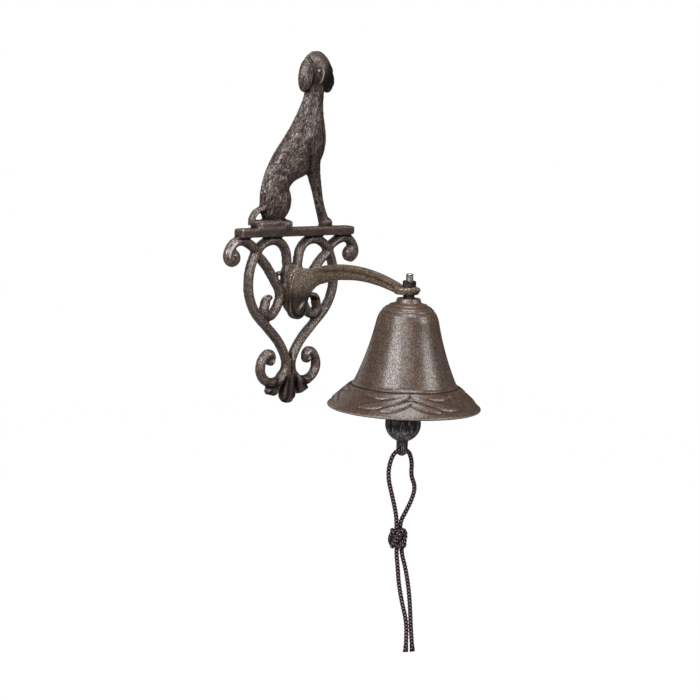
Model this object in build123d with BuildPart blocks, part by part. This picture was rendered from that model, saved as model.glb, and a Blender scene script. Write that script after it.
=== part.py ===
"""Cast-iron wall doorbell: a scrolled bracket with a seated hound, an arched arm, a bell and its clapper.

The wall is the plane y = 0 and the object stands out from it towards -Y. The origin lies midway between
the two wall-screw holes. X runs along the wall and Z is up. All sizes are in millimetres.
"""
from build123d import *
import os

os.makedirs("parts", exist_ok=True)

# Scrollwork bars of the bracket
bar_width = 8.0
bar_depth = 8.0
bar_crown = 2.6
bar_overlap = 0.6

# Shelf that the hound sits on
shelf_half = 63.0
shelf_top = 44.0
shelf_height = 7.8
shelf_depth = 12.0
shelf_rounding = 2.0

# Heart, hooks, inner scrolls and lower volutes, as half sizes from the middle line
heart_half = 48.0
heart_foot = -70.0
hook_half = 71.0
hook_knob_radius = 7.3
inner_scroll_foot = -31.0
volute_across = 19.0
volute_middle = -78.5
volute_radius = 12.5

# Palmette leaf at the foot
leaf_tip = -110.6
leaf_depth = 7.0
leaf_lobe_width = 17.0
side_lobe_reach = 24.5
side_lobe_foot = -101.0

# Pad behind the arm and the ears for the wall screws
pad_half = 10.4
pad_top = 12.0
pad_foot = -33.0
ear_thickness = 4.5
ear_radius = 6.0
wall_hole_spacing = 26.4
wall_hole_radius = 2.4

# Hound: its height above the shelf, how far it stands out from the wall, and its hind foot
hound_height = 151.0
hound_relief = 15.0
hind_foot_length = 40.0
hind_foot_height = 7.6
hind_foot_depth = 11.0
toe_length = 13.0
toe_depth = 12.5
tail_width = 5.0
tail_depth = 7.0

# Arm
flange_half = 10.8
flange_top = 10.0
flange_foot = -35.5
flange_foot_radius = 9.3
flange_thickness = 6.0
arm_reach = 151.0
arm_half_width = 4.0
bead_radius = 3.3
end_pad_radius = 10.5
end_pad_thickness = 6.1
end_pad_shift = 3.0
end_lip_radius = 2.4
end_lip_half = 3.6
end_lip_rise = 0.7

# Screws that hold the arm from behind
arm_screw_radius = 2.5
arm_screw_head_radius = 4.8
arm_screw_length = 14.0
arm_screw_high = 3.0
arm_screw_low = -23.0
screw_clearance = 0.25
head_recess = 0.3
end_gap = 1.0

# Stud, nuts and washers of the bell
stud_radius = 3.0
stud_clearance = 0.3
stud_end = 18.7
nut_flats = 10.0
nut_height = 5.2
thread_clearance = 0.1
seat_thickness = 2.8
seat_radius = 4.6
inner_washer_thickness = 1.6
inner_washer_radius = 6.5

# Bell, with drops measured down from its crown
crown_top = -1.2
crown_thickness = 7.0
crown_radius = 9.7
button_radius = 10.6
button_height = 3.6
shoulder_radius = 25.6
shoulder_drop = 18.8
waist_radius = 30.6
waist_drop = 38.7
band_radius = 41.4
band_drop = 68.0
band_groove = 0.7
rim_radius = 63.0
rim_drop = 88.2
rim_lip = 2.2
bell_wall = 4.2

# Eye bolt and clapper link
eye_inner_radius = 4.5
eye_wire_radius = 2.6
link_wire_radius = 1.5
link_half_width = 6.2
link_corner = 2.6
link_play = 0.3
link_pin_height = -28.5
link_length = 20.0

# Clapper
clapper_eye_inner_radius = 4.0
clapper_eye_wire_radius = 2.1
stem_radius = 4.0
ball_radius = 14.75
ball_middle = -105.0
flute_count = 12
flute_radius = 3.0
flute_depth = 1.1
neck_radius = 4.8
tab_thickness = 7.0
tab_foot = -131.8
cord_hole_height = -126.8
cord_hole_radius = 2.5

# Cord
cord_radius = 2.05
knot_radius = 8.4
knot_top = -192.6
knot_foot = -209.8

# Places that follow from the sizes above
shelf_under = shelf_top - shelf_height
flange_back = bar_depth
flange_front = flange_back + flange_thickness
end_pad_foot = crown_top + seat_thickness
end_pad_top = end_pad_foot + end_pad_thickness
crown_inside = crown_top - crown_thickness
link_low_pin_height = link_pin_height - link_length
bell_axis = Axis((0, -arm_reach, 0), (0, 0, 1))
bell_section = Plane(origin=(0, -arm_reach, 0), x_dir=(1, 0, 0), z_dir=(0, -1, 0))
wall_plane = Plane.XZ


def tangent_arcs(points, heading):
    """Draw a chain of tangent arcs on the wall through the points, from the given first direction."""
    direction = Vector(heading[0], 0, heading[1]).normalized()
    for start, end in zip(points, points[1:]):
        TangentArc(start, end, tangent=direction)
        chord = Vector(end[0] - start[0], 0, end[1] - start[1]).normalized()
        direction = chord * (2 * direction.dot(chord)) - direction


def scroll_bar(points, heading, width, depth):
    """Sweep a bar with a bevelled front along tangent arcs on the wall."""
    with BuildLine(wall_plane) as route:
        tangent_arcs(points, heading)
    start = Vector(points[0][0], 0, points[0][1])
    section_plane = Plane(origin=start, x_dir=(0, -1, 0), z_dir=(heading[0], 0, heading[1]))
    with BuildSketch(section_plane) as section:
        with BuildLine():
            bevel = min(bar_crown, width / 3)
            side = depth - bevel
            flat = width / 2 - bevel
            Polyline((0, width / 2), (side, width / 2), (depth, flat), (depth, -flat),
                     (side, -width / 2), (0, -width / 2), close=True)
        make_face()
    sweep(section.sketch, path=route.line)


def knob(middle, radius, depth):
    """Set a rolled knob with a bevelled front on the wall, where a bar ends."""
    with BuildSketch(wall_plane) as disc:
        with Locations(middle):
            Circle(radius)
    extrude(disc.sketch, amount=depth - bar_crown)
    with BuildSketch(wall_plane.offset(depth - bar_crown)) as front:
        with Locations(middle):
            Circle(radius)
    extrude(front.sketch, amount=bar_crown, taper=40)


def on_shelf(x, z):
    """Place a point of the figure, drawn 151 high on a shelf at height 44, at the figure's true size."""
    unit = hound_height / 151
    return Vector(x * unit, 0, shelf_top + (z - 44) * unit)


def ellipse_section(back, front, depth):
    """Draw an ellipse between two outline points of the figure, square to the wall."""
    across = on_shelf(*front) - on_shelf(*back)
    middle = (on_shelf(*front) + on_shelf(*back)) / 2
    upward = Vector(0, -1, 0).cross(across)
    with BuildSketch(Plane(origin=middle, x_dir=across, z_dir=upward)) as section:
        Ellipse(across.length / 2, depth)
    return section.sketch


def rounded_form(middle, long_half, short_half, direction, sink):
    """Revolve a half ellipse into a rounded form whose long axis lies sunk behind the wall plane."""
    unit = hound_height / 151
    origin = on_shelf(*middle) + Vector(0, sink * unit, 0)
    long_axis = Vector(direction[0], 0, direction[1])
    with BuildSketch(Plane(origin=origin, x_dir=long_axis, z_dir=(0, -1, 0))) as half:
        Ellipse(long_half * unit, short_half * unit)
        split(bisect_by=Plane.XZ)
    revolve(half.sketch, axis=Axis(origin, long_axis))


# Seated hound, cast in one with the bracket
with BuildPart() as hound:
    torso = [
        ellipse_section((-37, 62), (-8, 60), hound_relief - 3),
        ellipse_section((-35.8, 81), (-5, 80), hound_relief - 2),
        ellipse_section((-28, 100), (12, 88), hound_relief - 1),
        ellipse_section((-16, 117), (29, 103), hound_relief),
        ellipse_section((-5.6, 131), (32, 123), hound_relief - 1),
        ellipse_section((3.1, 146), (29, 140), hound_relief - 4),
        ellipse_section((8, 158), (28.6, 157), hound_relief - 5.5),
        ellipse_section((8, 170), (28, 170), hound_relief - 5.5),
    ]
    loft(torso)
    foreleg = [
        ellipse_section((9, 108), (30, 113), hound_relief - 3),
        ellipse_section((13, 93), (27, 98), hound_relief - 5.5),
        ellipse_section((16.5, 84), (28.5, 88), hound_relief - 7),
        ellipse_section((20.8, 74), (30.8, 77), hound_relief - 8),
        ellipse_section((24.2, 64), (33.4, 66), hound_relief - 8.5),
        ellipse_section((27.5, 54), (36.8, 57), hound_relief - 8),
        ellipse_section((30, 43), (41, 43), hound_relief - 7),
    ]
    loft(foreleg)
    # Haunch, skull, muzzle and ear
    rounded_form((-20.5, 65.5), 20.5, 17, (0.2, 1), 3.0)
    rounded_form((20, 178.5), 17, 16, (0.15, 1), 2.5)
    rounded_form((31.5, 172), 13.5, 8.6, (-0.35, 1), 0.5)
    rounded_form((5.5, 174), 15, 6.5, (0.12, 1), -5.0)
    # Front paw and tail
    rounded_form((36.5, 46.5), 6.5, 5, (1, 0.1), -4.0)
    tail = [on_shelf(-33, 60.5), on_shelf(-42.3, 57.2), on_shelf(-46.2, 46.5)]
    scroll_bar([(place.X, place.Z) for place in tail], (-1, -0.1), tail_width, tail_depth)
    # Hind foot along the shelf, with its toes at the end
    toe_end = on_shelf(-6, 44).X
    foot_low = shelf_top - bar_overlap
    with BuildSketch(wall_plane) as hind_foot:
        with Locations((toe_end, foot_low)):
            Rectangle(hind_foot_length, hind_foot_height, align=(Align.MAX, Align.MIN))
        fillet(hind_foot.vertices().group_by(Axis.Z)[-1], hind_foot_height / 3)
    extrude(hind_foot.sketch, amount=hind_foot_depth, taper=5)
    with BuildSketch(wall_plane) as toes:
        with Locations((toe_end, foot_low)):
            Rectangle(toe_length, hind_foot_height, align=(Align.MAX, Align.MIN))
        fillet(toes.vertices().group_by(Axis.Z)[-1], hind_foot_height / 2.5)
    extrude(toes.sketch, amount=toe_depth, taper=8)
    split(bisect_by=wall_plane)

# Wall bracket: shelf, heart, hooks, scrolls, leaf, pad and the hound
heart_top = shelf_under - bar_width / 2 + bar_overlap
foot_half = bar_width / 2 - bar_overlap / 3
with BuildPart() as wall_bracket:
    heart = [
        (5.5, 4), (7, 20), (22, heart_top), (40.5, 23), (heart_half, 0), (34.5, -34), (17.5, -50),
        (foot_half, heart_foot), (volute_across, volute_middle - volute_radius),
        (volute_across + volute_radius, volute_middle), (volute_across + 6, volute_middle + volute_radius),
        (volute_across + 1.5, volute_middle + 7),
    ]
    scroll_bar(heart, (0, 1), bar_width, bar_depth)
    knob(heart[-1], bar_width / 2 + bar_overlap, bar_depth)
    hook = [(40, 24), (55, heart_top), (64.5, heart_top - 1.3), (hook_half, 22.5), (hook_half - 5, 15)]
    scroll_bar(hook, (1, 1), bar_width, bar_depth)
    knob((hook_half - 4.7, 19), hook_knob_radius, bar_depth + bar_overlap)
    inner_scroll = [
        (39, 20), (26.5, 8), (15, -8), (13.2, -19), (20, inner_scroll_foot), (29.5, inner_scroll_foot + 6),
        (28.2, -18.5),
    ]
    scroll_bar(inner_scroll, (-1, -0.7), bar_width, bar_depth)
    knob(inner_scroll[-1], bar_width / 2, bar_depth - bar_overlap)
    # Half of the pad, and the ear for a wall screw
    with BuildSketch(wall_plane):
        with BuildLine():
            Polyline((0, pad_top), (pad_half - 4, pad_top), (pad_half, pad_top - 4), (pad_half, pad_foot + 16))
            RadiusArc((pad_half, pad_foot + 16), (0, pad_foot), 30)
            Line((0, pad_foot), (0, pad_top))
        make_face()
    extrude(amount=bar_depth)
    with BuildSketch(wall_plane):
        with Locations((wall_hole_spacing / 2, 0)):
            Circle(ear_radius)
    extrude(amount=ear_thickness)
    # Side lobe of the leaf, with a rounded end
    with BuildSketch(wall_plane):
        with BuildLine():
            lobe_end = (side_lobe_reach, side_lobe_foot + 2)
            lobe_upper = (side_lobe_reach - 4, side_lobe_foot + 7)
            lobe_lower = (side_lobe_reach - 4, side_lobe_foot - 1)
            lobe_low = (side_lobe_reach - 12, side_lobe_foot - 3)
            Polyline((1, volute_middle + 4), (6, volute_middle), lobe_upper)
            ThreePointArc(lobe_upper, lobe_end, lobe_lower)
            Polyline(lobe_lower, lobe_low, (1, volute_middle - 6), (1, volute_middle + 4))
        make_face()
    extrude(amount=leaf_depth, taper=20)
    mirror(about=Plane.YZ)
    # Middle lobe of the leaf
    with BuildSketch(wall_plane):
        with BuildLine():
            half = leaf_lobe_width / 2
            Polyline((half, leaf_tip + 9), (2.5, volute_middle + 10), (-2.5, volute_middle + 10),
                     (-half, leaf_tip + 9))
            ThreePointArc((-half, leaf_tip + 9), (0, leaf_tip), (half, leaf_tip + 9))
        make_face()
    extrude(amount=leaf_depth + 1.5, taper=15)
    # Shelf with rounded front edges
    with BuildSketch(Plane.YZ) as shelf:
        with Locations((0, shelf_under)):
            Rectangle(shelf_depth, shelf_height, align=(Align.MAX, Align.MIN))
        fillet(shelf.vertices().group_by(Axis.Y)[0], shelf_rounding)
    extrude(amount=shelf_half, both=True)
    add(hound.part)
    # Holes for the wall screws and for the screws of the arm
    with Locations(*[Plane(origin=(x, -bar_depth, 0), z_dir=(0, -1, 0))
                     for x in (-wall_hole_spacing / 2, wall_hole_spacing / 2)]):
        Hole(wall_hole_radius, depth=bar_depth)
    with Locations(*[Plane(origin=(0, 0, z), z_dir=(0, 1, 0)) for z in (arm_screw_high, arm_screw_low)]):
        CounterSinkHole(arm_screw_radius + screw_clearance,
                        arm_screw_head_radius + head_recess + screw_clearance,
                        depth=bar_depth, counter_sink_angle=90)
wall_bracket.part.label = "wall_bracket"
export_step(wall_bracket.part, "parts/wall_bracket.step")

# Arm: flange, bulb, lower rib, top bead and end pad
side_plane = Plane(origin=(0, 0, 0), x_dir=(0, -1, 0), z_dir=(-1, 0, 0))
arch_top = (82.0, 15.2)
arch_root = (30.0, 7.4)
arch_tip = (arm_reach - 8, end_pad_foot + bead_radius)


def arm_section(out, low, high, half_width):
    """Draw an upright ellipse across the arm, at a distance out from the wall."""
    middle = (0, -out, (low + high) / 2)
    with BuildSketch(Plane(origin=middle, x_dir=(1, 0, 0), z_dir=(0, -1, 0))) as section:
        Ellipse(half_width, (high - low) / 2)
    return section.sketch


with BuildPart() as bell_arm:
    with BuildSketch(Plane.XY.offset(end_pad_foot)):
        with Locations((0, end_pad_shift - arm_reach)):
            Circle(end_pad_radius)
    extrude(amount=end_pad_thickness)
    chamfer(bell_arm.edges(), 1.2)
    with BuildSketch(Plane.YZ):
        with Locations((end_pad_shift - arm_reach - end_pad_radius, end_pad_top + end_lip_rise - end_lip_radius)):
            Circle(end_lip_radius)
    extrude(amount=end_lip_half, both=True)
    with BuildSketch(wall_plane.offset(flange_back)) as flange:
        with Locations((0, flange_top - flange_half)):
            Circle(flange_half)
        with Locations((0, flange_foot + flange_foot_radius)):
            Circle(flange_foot_radius)
        make_hull()
    extrude(amount=flange_thickness)
    bulb_and_rib = [
        arm_section(flange_front - 1, flange_foot + 3, flange_top - 0.6, flange_half - 1.2),
        arm_section(18, -24, 9.6, flange_half - 1.6),
        arm_section(23, -15, 10, 8.2),
        arm_section(28, -10, 10.3, 6.8),
        arm_section(34, -5.4, 10.2, 5.4),
        arm_section(43, -1.4, 10.4, 4.4),
        arm_section(53, 1.9, 11.6, arm_half_width),
        arm_section(69, 4.6, 13.2, arm_half_width),
        arm_section(85, 6.0, 13.7, arm_half_width),
        arm_section(101, 5.9, 12.9, arm_half_width),
        arm_section(117, 4.4, 10.8, arm_half_width),
        arm_section(132, 1.9, 7.4, arm_half_width),
        arm_section(arm_reach - 6, end_pad_foot + 0.6, end_pad_top - 2, arm_half_width),
    ]
    loft(bulb_and_rib)
    with BuildLine(side_plane) as arch:
        TangentArc(arch_top, arch_root, tangent=Vector(0, 1, 0))
        TangentArc(arch_top, arch_tip, tangent=Vector(0, -1, 0))
    arch_path = arch.wires()[0]
    with BuildSketch(Plane(origin=arch_path @ 0, z_dir=arch_path % 0)):
        Circle(bead_radius)
    sweep(path=arch_path)
    with Locations((0, -arm_reach, end_pad_top + stud_end)):
        Hole(stud_radius + stud_clearance, depth=end_pad_thickness + stud_end + 5)
    screw_bore = head_recess + arm_screw_length - flange_back + end_gap
    with Locations(*[Plane(origin=(0, -flange_back, z), z_dir=(0, 1, 0))
                     for z in (arm_screw_high, arm_screw_low)]):
        Hole(arm_screw_radius + thread_clearance, depth=screw_bore)
bell_arm.part.label = "bell_arm"
export_step(bell_arm.part, "parts/bell_arm.step")

# Two countersunk screws through the pad into the flange
with BuildPart() as arm_screws:
    head_height = arm_screw_head_radius - arm_screw_radius
    with Locations(*[Plane(origin=(0, -head_recess, z), z_dir=(0, -1, 0))
                     for z in (arm_screw_high, arm_screw_low)]):
        Cone(arm_screw_head_radius, arm_screw_radius, head_height, align=(Align.CENTER, Align.CENTER, Align.MIN))
        Cylinder(arm_screw_radius, arm_screw_length, align=(Align.CENTER, Align.CENTER, Align.MIN))
arm_screws.part.label = "arm_screws"
export_step(arm_screws.part, "parts/arm_screws.step")

# Bell
stud_hole = stud_radius + stud_clearance
with BuildPart() as bell:
    with BuildSketch(bell_section):
        with BuildLine():
            button_foot = crown_top - button_height
            shoulder = (shoulder_radius, crown_top - shoulder_drop)
            waist = (waist_radius, crown_top - waist_drop)
            band = (band_radius, crown_top - band_drop)
            rim = (rim_radius, crown_top - rim_drop)
            rim_foot = rim[1] - rim_lip
            Polyline((stud_hole, crown_top), (crown_radius, crown_top), (button_radius, button_foot),
                     (button_radius + 1.2, button_foot - 0.4))
            ThreePointArc((button_radius + 1.2, button_foot - 0.4),
                          (shoulder_radius - 4.83, crown_top - shoulder_drop / 2), shoulder)
            ThreePointArc(shoulder, waist, band)
            Polyline(band, (band_radius - band_groove, band[1] - band_groove),
                     (band_radius + band_groove, band[1] - 2 * band_groove),
                     (rim_radius - 1, rim[1] + 0.6))
            ThreePointArc((rim_radius - 1, rim[1] + 0.6), (rim_radius, rim[1] - rim_lip / 3),
                          (rim_radius - 1, rim_foot))
            inner_band = (band_radius - bell_wall / 2, band[1] - bell_wall)
            Polyline((rim_radius - 1, rim_foot), (rim_radius - bell_wall, rim_foot), inner_band)
            ThreePointArc(inner_band, (waist_radius - bell_wall, waist[1]),
                          (shoulder_radius - bell_wall, shoulder[1]))
            inner_flat = (inner_washer_radius + 2, crown_inside)
            ThreePointArc((shoulder_radius - bell_wall, shoulder[1]),
                          (shoulder_radius - bell_wall - 4, (shoulder[1] + crown_inside) / 2 + 1), inner_flat)
            Polyline(inner_flat, (stud_hole, crown_inside), (stud_hole, crown_top))
        make_face()
    revolve(axis=bell_axis)
bell.part.label = "bell"
export_step(bell.part, "parts/bell.step")

# Eye bolt: a stud with a ring at its foot
eye_middle = link_pin_height + eye_inner_radius - link_wire_radius - link_play
eye_crest = eye_middle + eye_inner_radius + eye_wire_radius
with BuildPart() as eye_bolt:
    with BuildSketch(Plane.XY.offset(eye_crest)):
        with Locations((0, -arm_reach)):
            Circle(stud_radius)
    extrude(amount=stud_end - eye_crest)
    chamfer(eye_bolt.edges().group_by(Axis.Z)[-1], stud_radius / 6)
    with Locations(Plane(origin=(0, -arm_reach, eye_middle), z_dir=(0, 1, 0))):
        Torus(eye_inner_radius + eye_wire_radius, eye_wire_radius)
eye_bolt.part.label = "eye_bolt"
export_step(eye_bolt.part, "parts/eye_bolt.step")


def washer(foot, radius, thickness):
    """Make a flat washer on the stud, in the current part."""
    with BuildSketch(Plane.XY.offset(foot)) as ring:
        with Locations((0, -arm_reach)):
            Circle(radius)
            Circle(stud_radius + stud_clearance, mode=Mode.SUBTRACT)
    extrude(ring.sketch, amount=thickness)


def hex_nut(foot):
    """Make a hexagon nut with chamfered corners on the stud, in the current part."""
    with BuildSketch(Plane.XY.offset(foot)) as hexagon:
        with Locations((0, -arm_reach)):
            RegularPolygon(nut_flats / 2, 6, major_radius=False)
    extrude(hexagon.sketch, amount=nut_height)
    corner = nut_flats / 2 / 0.866
    with BuildSketch(bell_section) as turned:
        with BuildLine():
            bevel = corner - nut_flats / 2
            Polyline((0, foot), (nut_flats / 2, foot), (corner, foot + bevel),
                     (corner, foot + nut_height - bevel), (nut_flats / 2, foot + nut_height),
                     (0, foot + nut_height), close=True)
        make_face()
    revolve(turned.sketch, axis=bell_axis, mode=Mode.INTERSECT)
    with Locations((0, -arm_reach, foot + nut_height)):
        Hole(stud_radius + thread_clearance, depth=nut_height)


with BuildPart() as top_nut:
    hex_nut(end_pad_top)
top_nut.part.label = "top_nut"
export_step(top_nut.part, "parts/top_nut.step")

with BuildPart() as seat_washer:
    washer(crown_top, seat_radius, seat_thickness)
seat_washer.part.label = "seat_washer"
export_step(seat_washer.part, "parts/seat_washer.step")

with BuildPart() as inner_washer:
    washer(crown_inside - inner_washer_thickness, inner_washer_radius, inner_washer_thickness)
inner_washer.part.label = "inner_washer"
export_step(inner_washer.part, "parts/inner_washer.step")

with BuildPart() as inner_nut:
    hex_nut(crown_inside - inner_washer_thickness - nut_height)
inner_nut.part.label = "inner_nut"
export_step(inner_nut.part, "parts/inner_nut.step")

# Clapper link: two wire loops, welded crosswise
link_middle = (link_pin_height + link_low_pin_height) / 2
across_wall = Plane(origin=(0, -arm_reach, 0), x_dir=(0, 1, 0), z_dir=(1, 0, 0))


def wire_loop(plane, high, low):
    """Bend a closed rounded loop of wire, in the current part."""
    with BuildLine(plane) as outline:
        FilletPolyline((link_half_width, high), (link_half_width, low), (-link_half_width, low),
                       (-link_half_width, high), radius=link_corner, close=True)
    for piece in outline.edges():
        with BuildSketch(Plane(origin=piece @ 0, z_dir=piece % 0)) as wire:
            Circle(link_wire_radius)
        sweep(wire.sketch, path=piece)


with BuildPart() as clapper_link:
    wire_loop(across_wall, link_pin_height, link_middle)
    wire_loop(bell_section, link_middle, link_low_pin_height)
clapper_link.part.label = "clapper_link"
export_step(clapper_link.part, "parts/clapper_link.step")

# Clapper: eye, stem, fluted ball, neck and drilled tab
clapper_eye_middle = link_low_pin_height + link_wire_radius + link_play - clapper_eye_inner_radius
stem_top = clapper_eye_middle - clapper_eye_inner_radius - clapper_eye_wire_radius
neck_low = tab_foot + neck_radius
with BuildPart() as clapper:
    with BuildSketch(bell_section):
        with BuildLine():
            ball_high = ball_middle + (ball_radius ** 2 - stem_radius ** 2) ** 0.5
            ball_low = ball_middle - (ball_radius ** 2 - neck_radius ** 2) ** 0.5
            Polyline((0, tab_foot), (0, stem_top), (stem_radius - 1, stem_top), (stem_radius, ball_high))
            ThreePointArc((stem_radius, ball_high), (ball_radius, ball_middle), (neck_radius, ball_low))
            Line((neck_radius, ball_low), (neck_radius, neck_low))
            RadiusArc((neck_radius, neck_low), (0, tab_foot), neck_radius)
        make_face()
    revolve(axis=bell_axis)
    with Locations(Plane(origin=(0, -arm_reach, clapper_eye_middle), z_dir=(1, 0, 0))):
        Torus(clapper_eye_inner_radius + clapper_eye_wire_radius, clapper_eye_wire_radius)
    with Locations((0, -arm_reach, ball_middle)):
        with PolarLocations(ball_radius - flute_depth + flute_radius, flute_count):
            Cylinder(flute_radius, ball_radius, mode=Mode.SUBTRACT)
    flat_height = cord_hole_height + neck_radius - tab_foot
    with BuildSketch(Plane.XY.offset(tab_foot)):
        with Locations((-tab_thickness, -arm_reach), (tab_thickness, -arm_reach)):
            Rectangle(tab_thickness, 3 * neck_radius)
    extrude(amount=flat_height, mode=Mode.SUBTRACT)
    with Locations(Plane(origin=(neck_radius, -arm_reach, cord_hole_height), z_dir=(1, 0, 0))):
        Hole(cord_hole_radius, depth=2 * neck_radius)
clapper.part.label = "clapper"
export_step(clapper.part, "parts/clapper.step")

# Braided cord: a loop through the tab, a knot and two tails
hang_plane = Plane(origin=(0, -arm_reach, 0), x_dir=(0.743, -0.669, 0), z_dir=(-0.669, -0.743, 0))
tail_step = 1.2
loop_route = [
    (-2.1, knot_top), (-2.1, -186), (-4.6, -176), (-9.5, -162), (-14, -149), (-13.5, -137.5),
    (-7.8, cord_hole_height), (7.2, cord_hole_height), (12.4, -138), (11.6, -149.5), (17.4, -159.5),
    (14, -170), (7.4, -180), (2.1, -187), (2.1, knot_top),
]
left_route = [
    (-0.6, knot_foot), (-0.6, -214.5), (0.8, -224), (2.2, -238), (5.6, -254.5), (9.9, -270), (10.9, -283),
    (10.7, -297),
]
right_route = [
    (3.6, knot_foot), (3.6, -214), (7.4, -226), (11, -244), (12.8, -260), (14.4, -279), (16.4, -297),
]


def cord_tube(name, plane, route):
    """Sweep the cord along straight runs and tangent arcs as large as the runs allow."""
    points = [Vector(*point) for point in route]
    radii = []
    for before, corner, after in zip(points, points[1:], points[2:]):
        turn = (corner - before).get_angle(after - corner)
        run = min((corner - before).length, (after - corner).length)
        half_turn = Vector(1, 0, 0).rotate(Axis.Z, turn / 2)
        radii.append(0.45 * run * half_turn.X / half_turn.Y)
    print(name, "radii", [round(radius, 1) for radius in radii])
    with BuildLine(plane) as line:
        FilletPolyline(*route, radius=radii)
    path = line.wires()[0]
    with BuildSketch(Plane(origin=path @ 0, z_dir=path % 0)) as section:
        Circle(cord_radius)
    sweep(section.sketch, path=path)
    print(name, "length", round(path.length, 1), "section times length", round(path.length * section.sketch.area))


with BuildPart() as cord_loop:
    cord_tube("cord_loop", bell_section, loop_route)
print("cord_loop volume", round(cord_loop.part.volume))
cord_loop.part.label = "cord_loop"
export_step(cord_loop.part, "parts/cord_loop.step")

with BuildPart() as cord_knot:
    with BuildSketch(bell_section):
        with BuildLine():
            Polyline((5, knot_top), (0, knot_top), (0, knot_foot), (6.4, knot_foot))
            ThreePointArc((6.4, knot_foot), (knot_radius, (knot_top + knot_foot) / 2), (5, knot_top))
        make_face()
    revolve(axis=bell_axis)
cord_knot.part.label = "cord_knot"
export_step(cord_knot.part, "parts/cord_knot.step")

with BuildPart() as cord_tail_left:
    cord_tube("cord_tail_left", hang_plane.offset(tail_step), left_route)
cord_tail_left.part.label = "cord_tail_left"
export_step(cord_tail_left.part, "parts/cord_tail_left.step")

with BuildPart() as cord_tail_right:
    cord_tube("cord_tail_right", hang_plane.offset(-tail_step), right_route)
cord_tail_right.part.label = "cord_tail_right"
export_step(cord_tail_right.part, "parts/cord_tail_right.step")
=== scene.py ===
import math
import bpy
import numpy as np
from mathutils import Matrix, Vector


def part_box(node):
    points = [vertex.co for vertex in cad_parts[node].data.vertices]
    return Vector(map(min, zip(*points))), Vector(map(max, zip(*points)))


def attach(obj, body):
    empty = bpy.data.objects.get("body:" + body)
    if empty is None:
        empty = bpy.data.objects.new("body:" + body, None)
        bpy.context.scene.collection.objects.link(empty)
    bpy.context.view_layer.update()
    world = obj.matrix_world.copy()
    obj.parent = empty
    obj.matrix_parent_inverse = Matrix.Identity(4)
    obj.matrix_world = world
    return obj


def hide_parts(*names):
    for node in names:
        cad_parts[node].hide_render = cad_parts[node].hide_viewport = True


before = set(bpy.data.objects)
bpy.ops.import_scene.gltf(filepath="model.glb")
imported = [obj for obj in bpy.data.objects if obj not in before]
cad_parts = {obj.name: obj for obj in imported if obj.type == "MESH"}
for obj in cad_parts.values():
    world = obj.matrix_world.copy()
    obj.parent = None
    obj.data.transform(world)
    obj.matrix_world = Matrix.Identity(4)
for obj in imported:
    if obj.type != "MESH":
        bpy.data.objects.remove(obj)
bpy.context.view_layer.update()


# Wall bracket: one sand casting in brown iron, with scrolled bars, a palmette foot, a shelf and a seated
# hound on it. It is taken from its solid, skinned with a fine even mesh and softened as a casting is, then
# the coat, ear, eye, toes and leaf folds are worked into it.
def pick_only(piece):
    """Select this piece alone and make it active."""
    bpy.ops.object.select_all(action="DESELECT")
    bpy.context.view_layer.objects.active = piece
    piece.select_set(True)


def run_modifier(piece, kind, **settings):
    """Add one modifier to the piece, set it and apply it."""
    pick_only(piece)
    made = piece.modifiers.new(kind.lower(), kind)
    for key, value in settings.items():
        setattr(made, key, value)
    bpy.ops.object.modifier_apply(modifier=made.name)


def take_casting(node, name, voxel, passes):
    """Copy a solid as a new piece, merge its loose triangles, skin it evenly and soften its corners."""
    piece = bpy.data.objects.new(name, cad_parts[node].data.copy())
    bpy.context.scene.collection.objects.link(piece)
    piece.data.materials.clear()
    pick_only(piece)
    bpy.ops.object.mode_set(mode="EDIT")
    bpy.ops.mesh.select_all(action="SELECT")
    bpy.ops.mesh.remove_doubles(threshold=0.000005)
    bpy.ops.object.mode_set(mode="OBJECT")
    run_modifier(piece, "REMESH", mode="VOXEL", voxel_size=voxel)
    run_modifier(piece, "SMOOTH", factor=0.5, iterations=passes)
    bpy.ops.object.shade_smooth()
    return piece


def read_points(piece):
    """The piece's points in millimetres."""
    flat = np.empty(len(piece.data.vertices) * 3, np.float32)
    piece.data.vertices.foreach_get("co", flat)
    return flat.reshape(-1, 3).astype(float) * 1000


def read_normals(piece):
    """The piece's outward directions, point by point."""
    flat = np.empty(len(piece.data.vertices) * 3, np.float32)
    piece.data.vertices.foreach_get("normal", flat)
    return flat.reshape(-1, 3).astype(float)


def write_points(piece, points, node):
    """Put points in millimetres back, kept inside the box of the solid that the piece stands for."""
    low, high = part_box(node)
    points = np.clip(points, np.array(low) * 1000, np.array(high) * 1000)
    piece.data.vertices.foreach_set("co", (points / 1000).astype(np.float32).ravel())
    piece.data.update()


def give_attribute(piece, name, values):
    """Store one number, or one vector, for each point."""
    values = np.asarray(values, np.float32)
    kind, field = ("FLOAT", "value") if values.ndim == 1 else ("FLOAT_VECTOR", "vector")
    made = piece.data.attributes.new(name, kind, "POINT")
    made.data.foreach_set(field, values.ravel())


def spread(piece, values, rounds):
    """Average a value over neighbouring points."""
    ends = np.empty(len(piece.data.edges) * 2, np.int32)
    piece.data.edges.foreach_get("vertices", ends)
    one, two = ends.reshape(-1, 2).T
    size = len(values)
    count = np.bincount(one, minlength=size) + np.bincount(two, minlength=size) + 1.0
    for _ in range(rounds):
        total = values + np.bincount(one, values[two], size) + np.bincount(two, values[one], size)
        values = total / count
    return values


def mark_wear_and_painted_light(piece, reach, gain, more=0.0):
    """Store how proud each point stands: above a half on edges, where hands rub, below it in hollows. More
    adds to it, and carries any painted light and shade.
    """
    points, out = read_points(piece), read_normals(piece)
    soft = np.stack([spread(piece, points[:, axis], reach) for axis in range(3)], 1)
    proud = spread(piece, np.einsum("ij,ij->i", points - soft, out), 1)
    give_attribute(piece, "wear_and_painted_light", np.clip(0.5 + gain * proud + more, 0, 1))


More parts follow.
